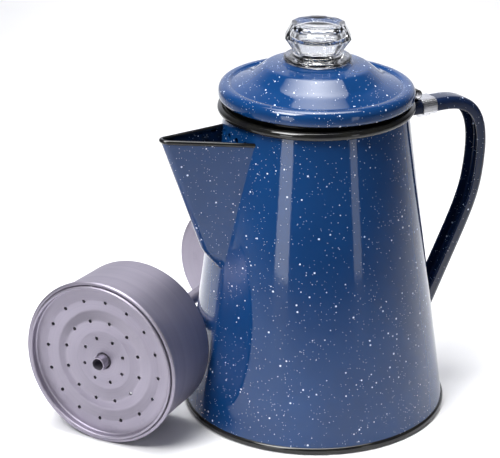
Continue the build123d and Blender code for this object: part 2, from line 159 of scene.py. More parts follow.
PUMP_FOOT_R = 40.0
PUMP_DOME_R = 11.0
PUMP_DOME_H = 11.5
PUMP_H = 162.0
TUBE_R = 3.75
TUBE_BORE_R = 3.1
TUBE_START = 5.0
TUBE_STOP_Z = 115.4
TUBE_STOP_R = 1.1
FOOT_NOTCH_R = 1.6
BASKET_SHEET = 0.8
BASKET_HOLE_R = 0.9
BASKET_BEAD_Z = 159.0
BASKET_BEAD_MID_R = 43.5
BASKET_BEAD_R = 1.2
SLEEVE_BORE_R = 4.05
SLEEVE_R = 4.9
SLEEVE_TOP = 154.0
BASKET_FLOOR_Z = 117.0
BASKET_RINGS = ((10.0, 8), (17.0, 14), (24.0, 20), (31.0, 26), (37.5, 32))
SPREADER_Z = 157.0
SPREADER_SHEET = 0.7
SPREADER_HOLE_R = 0.95
SPREADER_BORE_R = 4.4
SPREADER_WALL_R = 41.3
SPREADER_BEAD_MID_R = 41.6
SPREADER_BEAD_Z = 160.6
SPREADER_BEAD_R = 0.9
SPREADER_RINGS = ((33.3, 16), (22.3, 12), (12.2, 8))
SPREADER_FIRST_HOLE = 108.5


# ---------------------------------------------------------------- local frames
def lid_frame():
    """The lid is drawn shut; this turns it to its rest angle about the hinge."""
    joint = JOINTS["lid_hinge"]
    pivot = Vector(joint["pos_m"])
    ajar = radians(-joint["range_deg"][0])
    turn = Matrix.Rotation(ajar, 4, Vector(joint["axis"]))
    return Matrix.Translation(pivot) @ turn @ Matrix.Translation(-pivot)


def pump_frame():
    """The pump is drawn upright on its foot; this lays it along the basket's slide axis."""
    up = Vector(JOINTS["basket_slide"]["axis"]).normalized()
    right = Vector((-up.y, up.x, 0)).normalized()
    back = up.cross(right)
    low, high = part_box("stem_tube")
    foot = (low + high) / 2 - up * (TUBE_START + PUMP_H) / 2 * MM
    turn = Matrix((right, back, up)).transposed().to_4x4()
    return Matrix.Translation(foot) @ turn


POT = Matrix.Identity(4)
LID = lid_frame()
PUMP = pump_frame()


def wall_r(z):
    """Outer radius of the pot's wall at a height."""
    return WALL_FOOT_R - WALL_TAPER * z


# ---------------------------------------------------------------- outlines
def rounded(points, radii, step=9.0):
    """Open line through points, with each inner corner rounded to its radius."""
    points = [Vector(p) for p in points]
    line = [points[0]]
    for before, corner, after, radius in zip(points, points[1:], points[2:], radii):
        a = (before - corner).normalized()
        b = (after - corner).normalized()
        opening = a.angle(b)
        if radius <= 0 or pi - opening < 1e-4:
            line.append(corner)
            continue
        reach = radius / (sin(opening / 2) / cos(opening / 2))
        start, end = corner + a * reach, corner + b * reach
        centre = corner + (a + b).normalized() * (radius / sin(opening / 2))
        turn = pi - opening
        first, last = start - centre, end - centre
        count = max(2, ceil(degrees(turn) / step))
        for i in range(count + 1):
            share = i / count
            line.append(centre + (first * sin((1 - share) * turn) + last * sin(share * turn)) / sin(turn))
    line.append(points[-1])
    return line


def levels(low, high, step):
    """Even heights from low to high, about step apart."""
    count = max(1, round((high - low) / step))
    return [low + (high - low) * i / count for i in range(count + 1)]


def spaced(line, longest):
    """The same line with no stretch longer than the given length."""
    out = [line[0]]
    for a, b in zip(line, line[1:]):
        count = max(1, ceil((b - a).length / longest))
        out += [a.lerp(b, (i + 1) / count) for i in range(count)]
    return out


def sheet_loop(line, thickness, end_steps=5):
    """Closed outline of a sheet of that thickness along a line, with round edges."""
    half = thickness / 2
    normals = []
    for i in range(len(line)):
        along = line[min(i + 1, len(line) - 1)] - line[max(i - 1, 0)]
        normals.append(Vector((-along.y, along.x)).normalized())
    left = [p + n * half for p, n in zip(line, normals)]
    right = [p - n * half for p, n in zip(line, normals)]

    def cap(centre, normal, sense):
        forward = Vector((normal.y, -normal.x)) * sense
        angles = [pi * (k + 1) / (end_steps + 1) for k in range(end_steps)]
        return [centre + normal * (half * sense * cos(t)) + forward * (half * sin(t)) for t in angles]

    return left + cap(line[-1], normals[-1], 1) + right[::-1] + cap(line[0], normals[0], -1)


def circle_loop(centre_r, centre_z, radius, count=28):
    """Closed circle of (radius, height) points."""
    turns = [2 * pi * i / count for i in range(count)]
    return [Vector((centre_r + radius * cos(t), centre_z + radius * sin(t))) for t in turns]


# ---------------------------------------------------------------- mesh building
def ring_mesh(rings, closed=True):
    """bmesh through rings of points; closed joins the last ring to the first."""
    bm = bmesh.new()
    rows = [[bm.verts.new(p) for p in ring] for ring in rings]
    pairs = list(zip(rows, rows[1:]))
    if closed:
        pairs.append((rows[-1], rows[0]))
    for low, high in pairs:
        for i in range(len(low)):
            j = (i + 1) % len(low)
            corners = (low[i], low[j], high[j], high[i])
            bm.faces.new(corners)
    return bm


def lathe_mesh(loop, segments=192, shape=None, closed=True, tints=None, angles=None):
    """Turned bmesh of a (radius, height) outline; shape bends (r, z, angle), tints blacken its points."""
    angles = angles or [2 * pi * i / segments for i in range(segments)]
    rings = []
    for r, z in loop:
        ring = []
        for t in angles:
            rr, zz = shape(r, z, t) if shape else (r, z)
            ring.append((rr * cos(t), rr * sin(t), zz))
        rings.append(ring)
    bm = ring_mesh(rings, closed)
    if tints:
        layer = bm.verts.layers.float.new("black_edge_and_shade")
        for i, vert in enumerate(bm.verts):
            vert[layer] = tints[i // len(angles)]
    bmesh.ops.remove_doubles(bm, verts=bm.verts, dist=1e-4)
    return bm


def capped(rings):
    """bmesh through rings of points, with a face over each end."""
    bm = ring_mesh(rings, closed=False)
    bm.verts.ensure_lookup_table()
    count = len(rings[0])
    bm.faces.new([bm.verts[i] for i in range(count)][::-1])
    bm.faces.new([bm.verts[len(bm.verts) - count + i] for i in range(count)])
    return bm


def sweep_rings(line, section, side=Vector((0, 1, 0))):
    """Rings of a closed (across, out) section carried along a line in the plane square to side."""
    rings = []
    for i, point in enumerate(line):
        along = (line[min(i + 1, len(line) - 1)] - line[max(i - 1, 0)]).normalized()
        out = along.cross(side)
        rings.append([point + side * a + out * b for a, b in section])
    return rings


def tube_mesh(line, radius, sides=14):
    """bmesh of a round bar along any line, without twist."""
    rings = []
    tangent = (line[1] - line[0]).normalized()
    normal = tangent.orthogonal().normalized()
    for i, point in enumerate(line):
        new = (line[min(i + 1, len(line) - 1)] - line[max(i - 1, 0)]).normalized()
        normal = (normal - new * normal.dot(new)).normalized()
        other = new.cross(normal)
        turns = [2 * pi * k / sides for k in range(sides)]
        rings.append([point + normal * (radius * cos(t)) + other * (radius * sin(t)) for t in turns])
    return capped(rings)


def slab_mesh(loop, place, stations):
    """bmesh of a closed 2-D outline repeated at stations; place(u, v, w) sets each corner in space."""
    return capped([[place(u, v, w) for u, v in loop] for w in stations])


def joined(bm, other):
    """Adds another bmesh, which is used up, to bm."""
    mesh = bpy.data.meshes.new("part")
    other.to_mesh(mesh)
    other.free()
    bm.from_mesh(mesh)
    bpy.data.meshes.remove(mesh)
    return bm


def open_loops(edges):
    """Groups of connected edges."""
    left, loops = set(edges), []
    for seed in edges:
        if seed not in left:
            continue
        group, front = [], [seed]
        left.discard(seed)
        while front:
            edge = front.pop()
            group.append(edge)
            near = [e for vert in edge.verts for e in vert.link_edges if e in left]
            left.difference_update(near)
            front += near
        loops.append(group)
    return loops


def circle_in(bm, loop, centre, across, other, axis, radius, steps):
    """Circle of new verts in the plane of a loop of edges, bridged to it; returns its level and verts."""
    verts = {v for e in loop for v in e.verts}
    arms = [v.co - centre for v in verts]
    local = [(arm.dot(across), arm.dot(other), arm.dot(axis)) for arm in arms]
    level = sum(w for _, _, w in local) / len(local)
    spread = sum(u * u + v * v for u, v, _ in local) / 2
    tilt_u = sum(u * (w - level) for u, _, w in local) / spread
    tilt_v = sum(v * (w - level) for _, v, w in local) / spread
    circle = []
    for k in range(steps):
        u, v = radius * cos(2 * pi * k / steps), radius * sin(2 * pi * k / steps)
        at = centre + across * u + other * v + axis * (level + tilt_u * u + tilt_v * v)
        circle.append(bm.verts.new(at))
    edges = [bm.edges.new((circle[k], circle[(k + 1) % steps])) for k in range(steps)]
    bmesh.ops.bridge_loops(bm, edges=loop + edges)
    return level, circle


def punch(bm, holes, depth=3.0, steps=20):
    """Cuts round holes (centre, axis, radius, margin) through every skin and joins the skins inside them."""
    tools = [(Vector(c), Vector(a).normalized(), r, m) for c, a, r, m in holes]
    doomed = [[] for _ in tools]
    for face in bm.faces:
        middle = face.calc_center_median()
        for i, (centre, axis, _, margin) in enumerate(tools):
            d = middle - centre
            w = d.dot(axis)
            if abs(w) < depth and d.length_squared - w * w < margin * margin:
                doomed[i].append(face)
                break
    rims = [{e for f in group for e in f.edges} for group in doomed]
    gone = [f for group in doomed for f in group]
    bmesh.ops.delete(bm, geom=gone, context="FACES_ONLY")
    for (centre, axis, radius, _), rim in zip(tools, rims):
        across = axis.orthogonal().normalized()
        other = axis.cross(across)
        loops = open_loops([e for e in rim if len(e.link_faces) == 1])
        circles = [circle_in(bm, loop, centre, across, other, axis, radius, steps) for loop in loops]
        circles.sort(key=lambda item: item[0])
        for (_, low), (_, high) in zip(circles[::2], circles[1::2]):
            for k in range(steps):
                j = (k + 1) % steps
                bm.faces.new((low[k], low[j], high[j], high[k]))
    loose = [e for e in bm.edges if not e.link_faces]
    bmesh.ops.delete(bm, geom=loose, context="EDGES")


def piece(name, bm, matrix, body, slot, nodes, black=None, sharp=32.0):
    """Object in metres from a bmesh in millimetres, riding on a body and standing for CAD nodes."""
    bmesh.ops.recalc_face_normals(bm, faces=bm.faces)
    if black:
        layer = bm.verts.layers.float.new("black_edge_and_shade")
        for vert in bm.verts:
            vert[layer] = black(vert.co)
    bmesh.ops.scale(bm, vec=(MM, MM, MM), verts=bm.verts)
    for face in bm.faces:
        face.smooth = True
    mesh = bpy.data.meshes.new(name)
    bm.to_mesh(mesh)
    bm.free()
    mesh.set_sharp_from_angle(angle=radians(sharp))
    obj = bpy.data.objects.new(name, mesh)
    bpy.context.scene.collection.objects.link(obj)
    obj.matrix_world = matrix
    obj.data.materials.append(MATERIALS[slot])
    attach(obj, body)
    if nodes:
        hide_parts(*nodes)
    return obj


def bevelled(obj, width, segments=2, angle=40.0):
    """Rounds an object's sharp edges with a modifier."""
    mod = obj.modifiers.new("edges", "BEVEL")
    mod.width = width * MM
    mod.segments = segments
    mod.limit_method = "ANGLE"
    mod.angle_limit = radians(angle)
    mod.harden_normals = True
    return obj


def fade(value, full, none):
    """1 at full, 0 at none, straight between them."""
    return min(1.0, max(0.0, (none - value) / (none - full)))


# ---------------------------------------------------------------- materials
class Nodes:
    """Short hand for building one material's node tree."""

    def __init__(self, name):
        self.mat = bpy.data.materials.new(name)
        self.mat.use_nodes = True
        self.tree = self.mat.node_tree
        self.tree.nodes.clear()
        self.out = self.tree.nodes.new("ShaderNodeOutputMaterial")
        coords = self.tree.nodes.new("ShaderNodeTexCoord")
        self.place = coords.outputs["Object"]

    def link(self, source, target):
        self.tree.links.new(source, target)

    def add(self, kind, **inputs):
        """New node; inputs are sockets to link or values to set, by name with _ for a space."""
        node = self.tree.nodes.new(kind)
        for key, value in inputs.items():
            self.feed(node, key.replace("_", " "), value)
        return node

    def feed(self, node, key, value):
        if isinstance(value, bpy.types.NodeSocket):
            self.link(value, node.inputs[key])
        else:
            node.inputs[key].default_value = value

    def math(self, operation, a, b=0.0, c=0.0, clamp=False):
        node = self.tree.nodes.new("ShaderNodeMath")
        node.operation = operation
        node.use_clamp = clamp
        for i, value in enumerate((a, b, c)):
            if isinstance(value, bpy.types.NodeSocket):
                self.link(value, node.inputs[i])
            else:
                node.inputs[i].default_value = value
        return node.outputs[0]

    def noise(self, scale, detail=3.0, roughness=0.55, place=None, dims="3D"):
        node = self.add("ShaderNodeTexNoise", Scale=scale, Detail=detail, Roughness=roughness)
        node.noise_dimensions = dims
        self.link(place or self.place, node.inputs["Vector"])
        return node.outputs["Fac"]

    def ranged(self, value, low, high, out_low, out_high, smooth=False):
        node = self.tree.nodes.new("ShaderNodeMapRange")
        node.interpolation_type = "SMOOTHSTEP" if smooth else "LINEAR"
        self.link(value, node.inputs["Value"])
        for key, number in zip(("From Min", "From Max", "To Min", "To Max"), (low, high, out_low, out_high)):
            node.inputs[key].default_value = number
        return node.outputs["Result"]

    def mix(self, factor, a, b):
        node = self.tree.nodes.new("ShaderNodeMix")
        node.data_type = "RGBA"
        self.link(factor, node.inputs["Factor"])
        for key, value in (("A", a), ("B", b)):
            socket = [s for s in node.inputs if s.name == key and s.type == "RGBA"][0]
            if isinstance(value, bpy.types.NodeSocket):
                self.link(value, socket)
            else:
                socket.default_value = value
        return [s for s in node.outputs if s.type == "RGBA"][0]

    def attribute(self, name):
        node = self.tree.nodes.new("ShaderNodeAttribute")
        node.attribute_name = name
        return node.outputs["Fac"]

    def bump(self, height, strength, distance, normal=None):
        node = self.add("ShaderNodeBump", Strength=strength, Distance=distance, Height=height)
        if normal is not None:
            self.link(normal, node.inputs["Normal"])
        return node.outputs["Normal"]

    def radius(self):
        """Distance from the piece's own Z axis, and height along it, in metres."""
        node = self.add("ShaderNodeSeparateXYZ", Vector=self.place)
        x, y, z = node.outputs
        squares = [self.math("MULTIPLY", part, part) for part in (x, y)]
        return self.math("SQRT", self.math("ADD", *squares)), z

    def finish(self, shader):
        self.link(shader, self.out.inputs["Surface"])
        return self.mat


def rgba(r, g, b):
    return (r, g, b, 1.0)


def speck_mask(n):
    """Random round specks of uneven size, thrown over the enamel and clustered in places."""
    cells = n.add("ShaderNodeTexVoronoi", Vector=n.place, Scale=SPECK_SCALE, Randomness=1.0)
    dice = n.add("ShaderNodeSeparateColor", Color=cells.outputs["Color"])
    size = n.math("POWER", dice.outputs["Red"], 3.0)
    reach = n.math("MULTIPLY_ADD", size, SPECK_MAX - SPECK_MIN, SPECK_MIN)
    cluster = n.ranged(n.noise(38.0, 1.0), 0.40, 0.62, 0.42, 1.0)
    kept = n.math("LESS_THAN", dice.outputs["Green"], cluster)
    wobble = n.math("MULTIPLY_ADD", n.noise(1400.0, 1.0), 0.03, -0.015)
    gap = n.math("SUBTRACT", reach, n.math("ADD", cells.outputs["Distance"], wobble))
    inside = n.ranged(gap, -0.004, 0.010, 0.0, 1.0, smooth=True)
    fine = n.add("ShaderNodeTexVoronoi", Vector=n.place, Scale=SPECK_SCALE * 2.3, Randomness=1.0)
    dust = n.ranged(fine.outputs["Distance"], 0.15, 0.10, 0.0, 1.0, smooth=True)
    fine_dice = n.add("ShaderNodeSeparateColor", Color=fine.outputs["Color"])
    rare = n.math("LESS_THAN", fine_dice.outputs["Red"], 0.42)
    return n.math("MAXIMUM", n.math("MULTIPLY", inside, kept), n.math("MULTIPLY", dust, rare))


def enamel_relief(n, strength=0.16):
    """Fired enamel: a slow swell over the sheet and a fine orange peel."""
    swell = n.bump(n.noise(26.0, 2.0, 0.45), strength, 0.0012)
    return n.bump(n.noise(420.0, 2.0, 0.5), strength * 0.35, 0.0002, swell)


def blue_enamel():
    """Cobalt enamel with thrown white specks; the edge attribute turns it navy, then black: black edging with
    a thicker navy coat beside it, and navy as painted shade on the handle and inside the spout.
    """
    n = Nodes("blue_enamel")
    depth = n.ranged(n.noise(14.0, 3.0), 0.35, 0.65, 0.0, 1.0)
    cobalt = n.mix(depth, COBALT_DEEP, COBALT)
    # navy: thicker coat beside the black edges, and painted shade on the handle and inside the spout
    navy_coat_and_shade = n.ranged(n.attribute("black_edge_and_shade"), 0.05, 0.34, 0.0, 1.0)
    cobalt = n.mix(navy_coat_and_shade, cobalt, NAVY)
    specked = n.mix(speck_mask(n), cobalt, SPECK_WHITE)
    edge = n.math("MULTIPLY_ADD", n.noise(260.0, 2.0), 0.24, n.attribute("black_edge_and_shade"))
    black = n.ranged(edge, 0.56, 0.66, 0.0, 1.0, smooth=True)
    mottled = n.mix(n.ranged(n.noise(120.0, 4.0), 0.4, 0.7, 0.0, 1.0), BLACK_DEEP, BLACK_OLIVE)
    colour = n.mix(black, specked, mottled)
    rough = n.ranged(n.noise(300.0, 4.0, 0.6), 0.3, 0.75, 0.035, 0.085)
    body = n.add("ShaderNodeBsdfPrincipled", Roughness=rough, Normal=enamel_relief(n))
    n.feed(body, "Base Color", colour)
    n.feed(body, "IOR", 1.52)
    return n.finish(body.outputs[0])


def black_enamel():
    """Black edging enamel, slightly olive, with the same fired surface."""
    n = Nodes("black_enamel")
    colour = n.mix(n.ranged(n.noise(120.0, 4.0), 0.4, 0.7, 0.0, 1.0), BLACK_DEEP, BLACK_OLIVE)
    rough = n.ranged(n.noise(260.0, 4.0, 0.6), 0.3, 0.75, 0.05, 0.13)
    body = n.add("ShaderNodeBsdfPrincipled", Roughness=rough, Normal=enamel_relief(n, 0.22))
    n.feed(body, "Base Color", colour)
    return n.finish(body.outputs[0])


def aluminium():
    """Spun aluminium: fine grooves round the axis, a soft satin bloom and a few handling marks."""
    n = Nodes("aluminium")
    radius, height = n.radius()
    lathe = n.add("ShaderNodeCombineXYZ", X=radius, Y=height)
    grooves = n.noise(2600.0, 2.0, 0.6, lathe.outputs[0], "2D")
    bands = n.noise(240.0, 3.0, 0.55, lathe.outputs[0], "2D")
    marks = n.noise(90.0, 5.0, 0.7)
    bloom = n.noise(24.0, 2.0)
    colour = n.mix(n.ranged(bands, 0.35, 0.65, 0.0, 1.0), ALUMINIUM_DULL, ALUMINIUM_BRIGHT)
    colour = n.mix(n.ranged(marks, 0.62, 0.78, 0.0, 0.35), colour, ALUMINIUM_STAIN)
    rough = n.math("ADD", n.ranged(bloom, 0.3, 0.7, 0.48, 0.56), n.ranged(grooves, 0.3, 0.7, -0.03, 0.05))
    relief = n.bump(grooves, 0.10, 0.00012)
    relief = n.bump(bands, 0.03, 0.0002, relief)
    body = n.add("ShaderNodeBsdfPrincipled", Roughness=rough, Normal=relief)
    n.feed(body, "Base Color", colour)
    n.feed(body, "Metallic", 1.0)
    return n.finish(body.outputs[0])


def tinned_steel():
    """Bright tinned strip with draw lines along it and small scratches."""
    n = Nodes("tinned_steel")
    stretch = n.add("ShaderNodeMapping", Vector=n.place, Scale=(40.0, 900.0, 900.0))
    lines = n.noise(1.0, 3.0, 0.6, stretch.outputs[0])
    stain = n.noise(160.0, 4.0, 0.6)
    colour = n.mix(n.ranged(stain, 0.4, 0.7, 0.0, 1.0), STEEL_BRIGHT, STEEL_DULL)
    rough = n.ranged(lines, 0.3, 0.7, 0.16, 0.34)
    body = n.add("ShaderNodeBsdfPrincipled", Roughness=rough, Normal=n.bump(lines, 0.18, 0.0002))
    n.feed(body, "Base Color", colour)
    n.feed(body, "Metallic", 1.0)
    return n.finish(body.outputs[0])


def clear_glass():
    """Pressed clear glass with the faint waviness of the mould."""
    n = Nodes("clear_glass")
    wave = n.bump(n.noise(150.0, 2.0, 0.5), 0.10, 0.0006)
    rough = n.ranged(n.noise(500.0, 3.0), 0.3, 0.8, 0.0, 0.05)
    tint = n.mix(n.ranged(n.noise(60.0, 2.0), 0.3, 0.7, 0.0, 1.0), GLASS_CLEAR, GLASS_GREY)
    body = n.add("ShaderNodeBsdfPrincipled", Roughness=rough, Normal=wave)
    n.feed(body, "Base Color", tint)
    n.feed(body, "Transmission Weight", 1.0)
    n.feed(body, "IOR", 1.5)
    return n.finish(body.outputs[0])


def studio_floor():
    """Pale matt table with a very soft sheen."""
    n = Nodes("studio_floor")
    colour = n.mix(n.ranged(n.noise(9.0, 3.0), 0.3, 0.7, 0.0, 1.0), FLOOR_WARM, FLOOR_COOL)
    body = n.add("ShaderNodeBsdfPrincipled", Normal=n.bump(n.noise(700.0, 3.0), 0.05, 0.0002))
    n.feed(body, "Base Color", colour)
    n.feed(body, "Roughness", 0.6)
    return n.finish(body.outputs[0])


SPECK_SCALE = 350.0
SPECK_MIN = 0.075
SPECK_MAX = 0.20
COBALT = rgba(0.004, 0.042, 0.152)
COBALT_DEEP = rgba(0.003, 0.031, 0.116)
NAVY = rgba(0.004, 0.012, 0.042)
SPECK_WHITE = rgba(0.66, 0.74, 0.92)
BLACK_DEEP = rgba(0.006, 0.006, 0.007)
BLACK_OLIVE = rgba(0.014, 0.014, 0.011)
ALUMINIUM_BRIGHT = rgba(0.35, 0.325, 0.39)
ALUMINIUM_DULL = rgba(0.33, 0.306, 0.37)
ALUMINIUM_STAIN = rgba(0.22, 0.21, 0.25)
STEEL_BRIGHT = rgba(0.74, 0.74, 0.76)
STEEL_DULL = rgba(0.52, 0.52, 0.55)
GLASS_CLEAR = rgba(0.985, 0.99, 0.995)
GLASS_GREY = rgba(0.95, 0.955, 0.965)
FLOOR_WARM = rgba(0.86, 0.86, 0.87)
FLOOR_COOL = rgba(0.83, 0.83, 0.85)

MATERIALS = {
    "blue_enamel": blue_enamel(),
    "black_enamel": black_enamel(),
    "aluminium": aluminium(),
    "tinned_steel": tinned_steel(),
    "clear_glass": clear_glass(),
}


# ---------------------------------------------------------------- pot
def rim_centre_r():
    return wall_r(RIM_Z) - SHEET + RIM_BEAD_R


def build_pot_body():
    """Wall and rolled rim in one turned sheet, punched behind the spout."""
    centre = rim_centre_r()
    meet = sqrt(RIM_BEAD_R**2 - (centre - wall_r(RIM_Z)) ** 2)
    low_angle = atan2(-meet, wall_r(RIM_Z) - centre)
    arc = [low_angle + (pi - low_angle) * i / 30 for i in range(31)]
    bead = [Vector((centre + RIM_BEAD_R * cos(t), RIM_Z + RIM_BEAD_R * sin(t))) for t in arc]
    top, bottom = bead[0].y, BEAD_H
    plain_top, punched_top = 126.0, 163.4  # close rows only where the holes are
    heights = [bottom, bottom + 0.6] + levels(bottom + 6.0, plain_top, 6.0)
    heights += levels(plain_top + 1.0, punched_top, 1.15) + [top - 0.9, top - 0.45]
    outer = [Vector((wall_r(z), z)) for z in heights]
    inner = [Vector((wall_r(z) - SHEET, z)) for z in heights[::-1]]
    loop = outer + bead + inner
    tints = [fade(top - 0.45 - p.y, 0.0, 0.5) for p in outer] + [1.0] * len(bead)
    tints += [fade(top - 2.2 - p.y, 0.0, 0.9) for p in inner]
    bm = lathe_mesh(loop, 288, tints=tints)
    holes = []
    for z, count in STRAINER_ROWS:
        for i in range(count):
            t = pi + radians(STRAINER_PITCH * (i - (count - 1) / 2))
            centre_at = (wall_r(z) * cos(t), wall_r(z) * sin(t), z)
            holes.append((centre_at, (cos(t), sin(t), 0), STRAINER_HOLE_R, STRAINER_HOLE_R + 0.75))
    punch(bm, holes)
    return piece("pot_body_visual", bm, POT, "pot", "blue_enamel", ["pot_body"])


def build_base_pan():
    """Flat pan under the wall with its rounded black foot bead."""
    corners = [(0, 0), (FOOT_R, 0), (FOOT_R, BEAD_H), (FOOT_R - BASE_BEAD_W, BEAD_H)]
    corners += [(FOOT_R - BASE_BEAD_W, SHEET), (0, SHEET)]
    line = spaced(rounded(corners, [1.5, 1.6, 1.3, 0.5]), 9.0)
    bm = lathe_mesh(line, 256, closed=False)
    return piece("base_pan_visual", bm, POT, "pot", "black_enamel", ["base_pan"])


# ---------------------------------------------------------------- spout
SPOUT_RIDGE = rounded(
    [
        (SPOUT_NOSE_R + 6.0 * SPOUT_RIDGE_SLOPE, SPOUT_TOP_Z + 6.0),
        (SPOUT_NOSE_R - 65.0 * SPOUT_RIDGE_SLOPE, SPOUT_TOP_Z - 65.0),
        (60.6, 90.5),
        (55.0, 83.4),
    ],
    [16.0, 12.0],
    3.0,
)


def ridge_r(z):
    """Distance of the spout's ridge from the pot's axis at a height."""
    for upper, lower in zip(SPOUT_RIDGE, SPOUT_RIDGE[1:]):
        if lower.y <= z:
            return lower.lerp(upper, (z - lower.y) / (upper.y - lower.y)).x
    return SPOUT_RIDGE[-1].x


def spout_half_width(z):
    return SPOUT_HALF_WIDTH - SPOUT_SIDE_SLOPE * (SPOUT_LIP_Z - z)


def spout_lean(z, nose):
    """Half angle of the V whose nose is rounded and whose sides meet the wall at the half width."""
    half = spout_half_width(z)
    root = sqrt(wall_r(z) ** 2 - half**2)
    lean = atan2(half, max(nose - root, 1.2))
    for _ in range(20):
        tip = nose + SPOUT_NOSE_ROUND * (1 / sin(lean) - 1)
        lean = atan2(half, max(tip - root, 1.2))
    return lean


def spout_ring(z, grow, straights=9, turns=12):
    """Points of the V at a height, from one side of the wall round the nose to the other."""
    nose = ridge_r(z)
    lean = spout_lean(z, nose)
    round_r = SPOUT_NOSE_ROUND + grow
    tip = nose + grow + round_r * (1 / sin(lean) - 1)
    wall = wall_r(z) - SPOUT_SINK
    tan_lean = sin(lean) / cos(lean)
    a, b, c = 1 + tan_lean**2, -2 * tip * tan_lean**2, tip**2 * tan_lean**2 - wall**2
    start_x = (-b + sqrt(max(b * b - 4 * a * c, 0.0))) / (2 * a)
    centre_x = tip - round_r / sin(lean)
    touch = Vector((centre_x + round_r * sin(lean), round_r * cos(lean)))
    start_x = min(start_x, touch.x)
    start = Vector((start_x, (tip - start_x) * tan_lean))
    side = [start.lerp(touch, i / straights) for i in range(straights)]
    reach = pi / 2 - lean
    arc = [reach - 2 * reach * i / turns for i in range(turns + 1)]
    nose_arc = [Vector((centre_x + round_r * cos(t), round_r * sin(t))) for t in arc]
    other = [Vector((p.x, -p.y)) for p in side[::-1]]
    outside = [p * max(1.0, wall / p.length) for p in side + nose_arc + other]
    return [Vector((-p.x, p.y, z)) for p in outside]


def lip_height(x):
    """Height of the spout's sloping lip at a place along X."""
    root = sqrt(wall_r(SPOUT_LIP_Z) ** 2 - SPOUT_HALF_WIDTH**2)
    return SPOUT_LIP_Z + (-x - root) * (SPOUT_TOP_Z - SPOUT_LIP_Z) / (SPOUT_NOSE_R - root)


def spout_skin(grow, drop, rows=64):
    """Rows of points from the heel up to the lip lowered by drop."""
    heel = SPOUT_HEEL_LOW
    count = len(spout_ring(120.0, grow))
    tops = []
    for k in range(count):
        z = SPOUT_LIP_Z
        for _ in range(8):
            z = lip_height(spout_ring(z, grow)[k].x) - drop
        tops.append(z)
    skin = []
    for i in range(rows + 1):
        share = (i / rows) ** 1.35
        skin.append([spout_ring(heel + share * (top - heel), grow)[k] for k, top in enumerate(tops)])
    return skin


def build_spout():
    """Folded V with a rolled black lip, open above and behind."""
    outer = spout_skin(0.0, SPOUT_LIP_DROP)
    inner = spout_skin(-SHEET, SPOUT_LIP_DROP)
    shaded_inside = {tuple(p) for row in inner for p in row}
    bm = bmesh.new()
    grids = [[[bm.verts.new(p) for p in row] for row in skin] for skin in (outer, inner)]
    for grid in grids:
        for low, high in zip(grid, grid[1:]):
            for i in range(len(low) - 1):
                bm.faces.new((low[i], low[i + 1], high[i + 1], high[i]))
    out_grid, in_grid = grids
    for row_out, row_in in ((out_grid[0], in_grid[0]), (out_grid[-1], in_grid[-1])):
        for i in range(len(row_out) - 1):
            bm.faces.new((row_out[i], row_out[i + 1], row_in[i + 1], row_in[i]))
    for edge in (0, -1):
        for i in range(len(out_grid) - 1):
            corners = (out_grid[i][edge], out_grid[i + 1][edge], in_grid[i + 1][edge], in_grid[i][edge])
            bm.faces.new(corners)
    lip = [a.lerp(b, 0.45) for a, b in zip(outer[-1], inner[-1])]
    roll = tube_mesh(spaced(lip, 1.2), SPOUT_LIP_R)
    joined(bm, roll)

    # black along the lip, and navy painted shade over the spout's inner side
    def black(p):
        edge = fade(lip_height(p.x) - p.z, 2.1, 2.7)
        return max(edge, SPOUT_INSIDE_SHADE if tuple(p) in shaded_inside else 0.0)

    return piece("spout_visual", bm, POT, "pot", "blue_enamel", ["spout"], black=black, sharp=50)


# ---------------------------------------------------------------- handle
def handle_path():
    """Outer line of the handle from its shoulder down to the straight lower run."""
    foot_r = wall_r(HANDLE_FOOT_Z)
    points = [(76.0, HANDLE_TOP_Z), (HANDLE_OUT_X, 119.0), (foot_r + 50 * HANDLE_SLOPE, HANDLE_FOOT_Z + 50)]
    p0, p1, p2 = [Vector(p) for p in points]
    d0 = Vector((HANDLE_PULLS[0], 0.0))
    d2 = Vector((-HANDLE_SLOPE, -1.0)).normalized() * HANDLE_PULLS[1]
    h0, h1 = (p1 - p0).length, (p2 - p1).length
    pull = 3 * ((p1 - p0) * (h1 / h0) + (p2 - p1) * (h0 / h1)) - d0 * h1 - d2 * h0
    d1 = pull / (2 * (h0 + h1))
    line = []
    for a, b, da, db, h in ((p0, p1, d0, d1, h0), (p1, p2, d1, d2, h1)):
        for i in range(34):
            t = i / 34
            line.append(
                a * (2 * t**3 - 3 * t**2 + 1) + da * (h * (t**3 - 2 * t**2 + t))
                + b * (3 * t**2 - 2 * t**3) + db * (h * (t**3 - t**2))
            )
    line.append(p2)
    return line


def to_wall(point, way):
    """Slides a point along a direction until it sinks just into the pot's wall."""
    near, far = 0.0, 90.0
    for _ in range(40):
        t = (near + far) / 2
        p = point + way * t
        if sqrt(p.x**2 + p.y**2) > wall_r(p.z) - HANDLE_SINK:
            near = t
        else:
            far = t
    return point + way * near


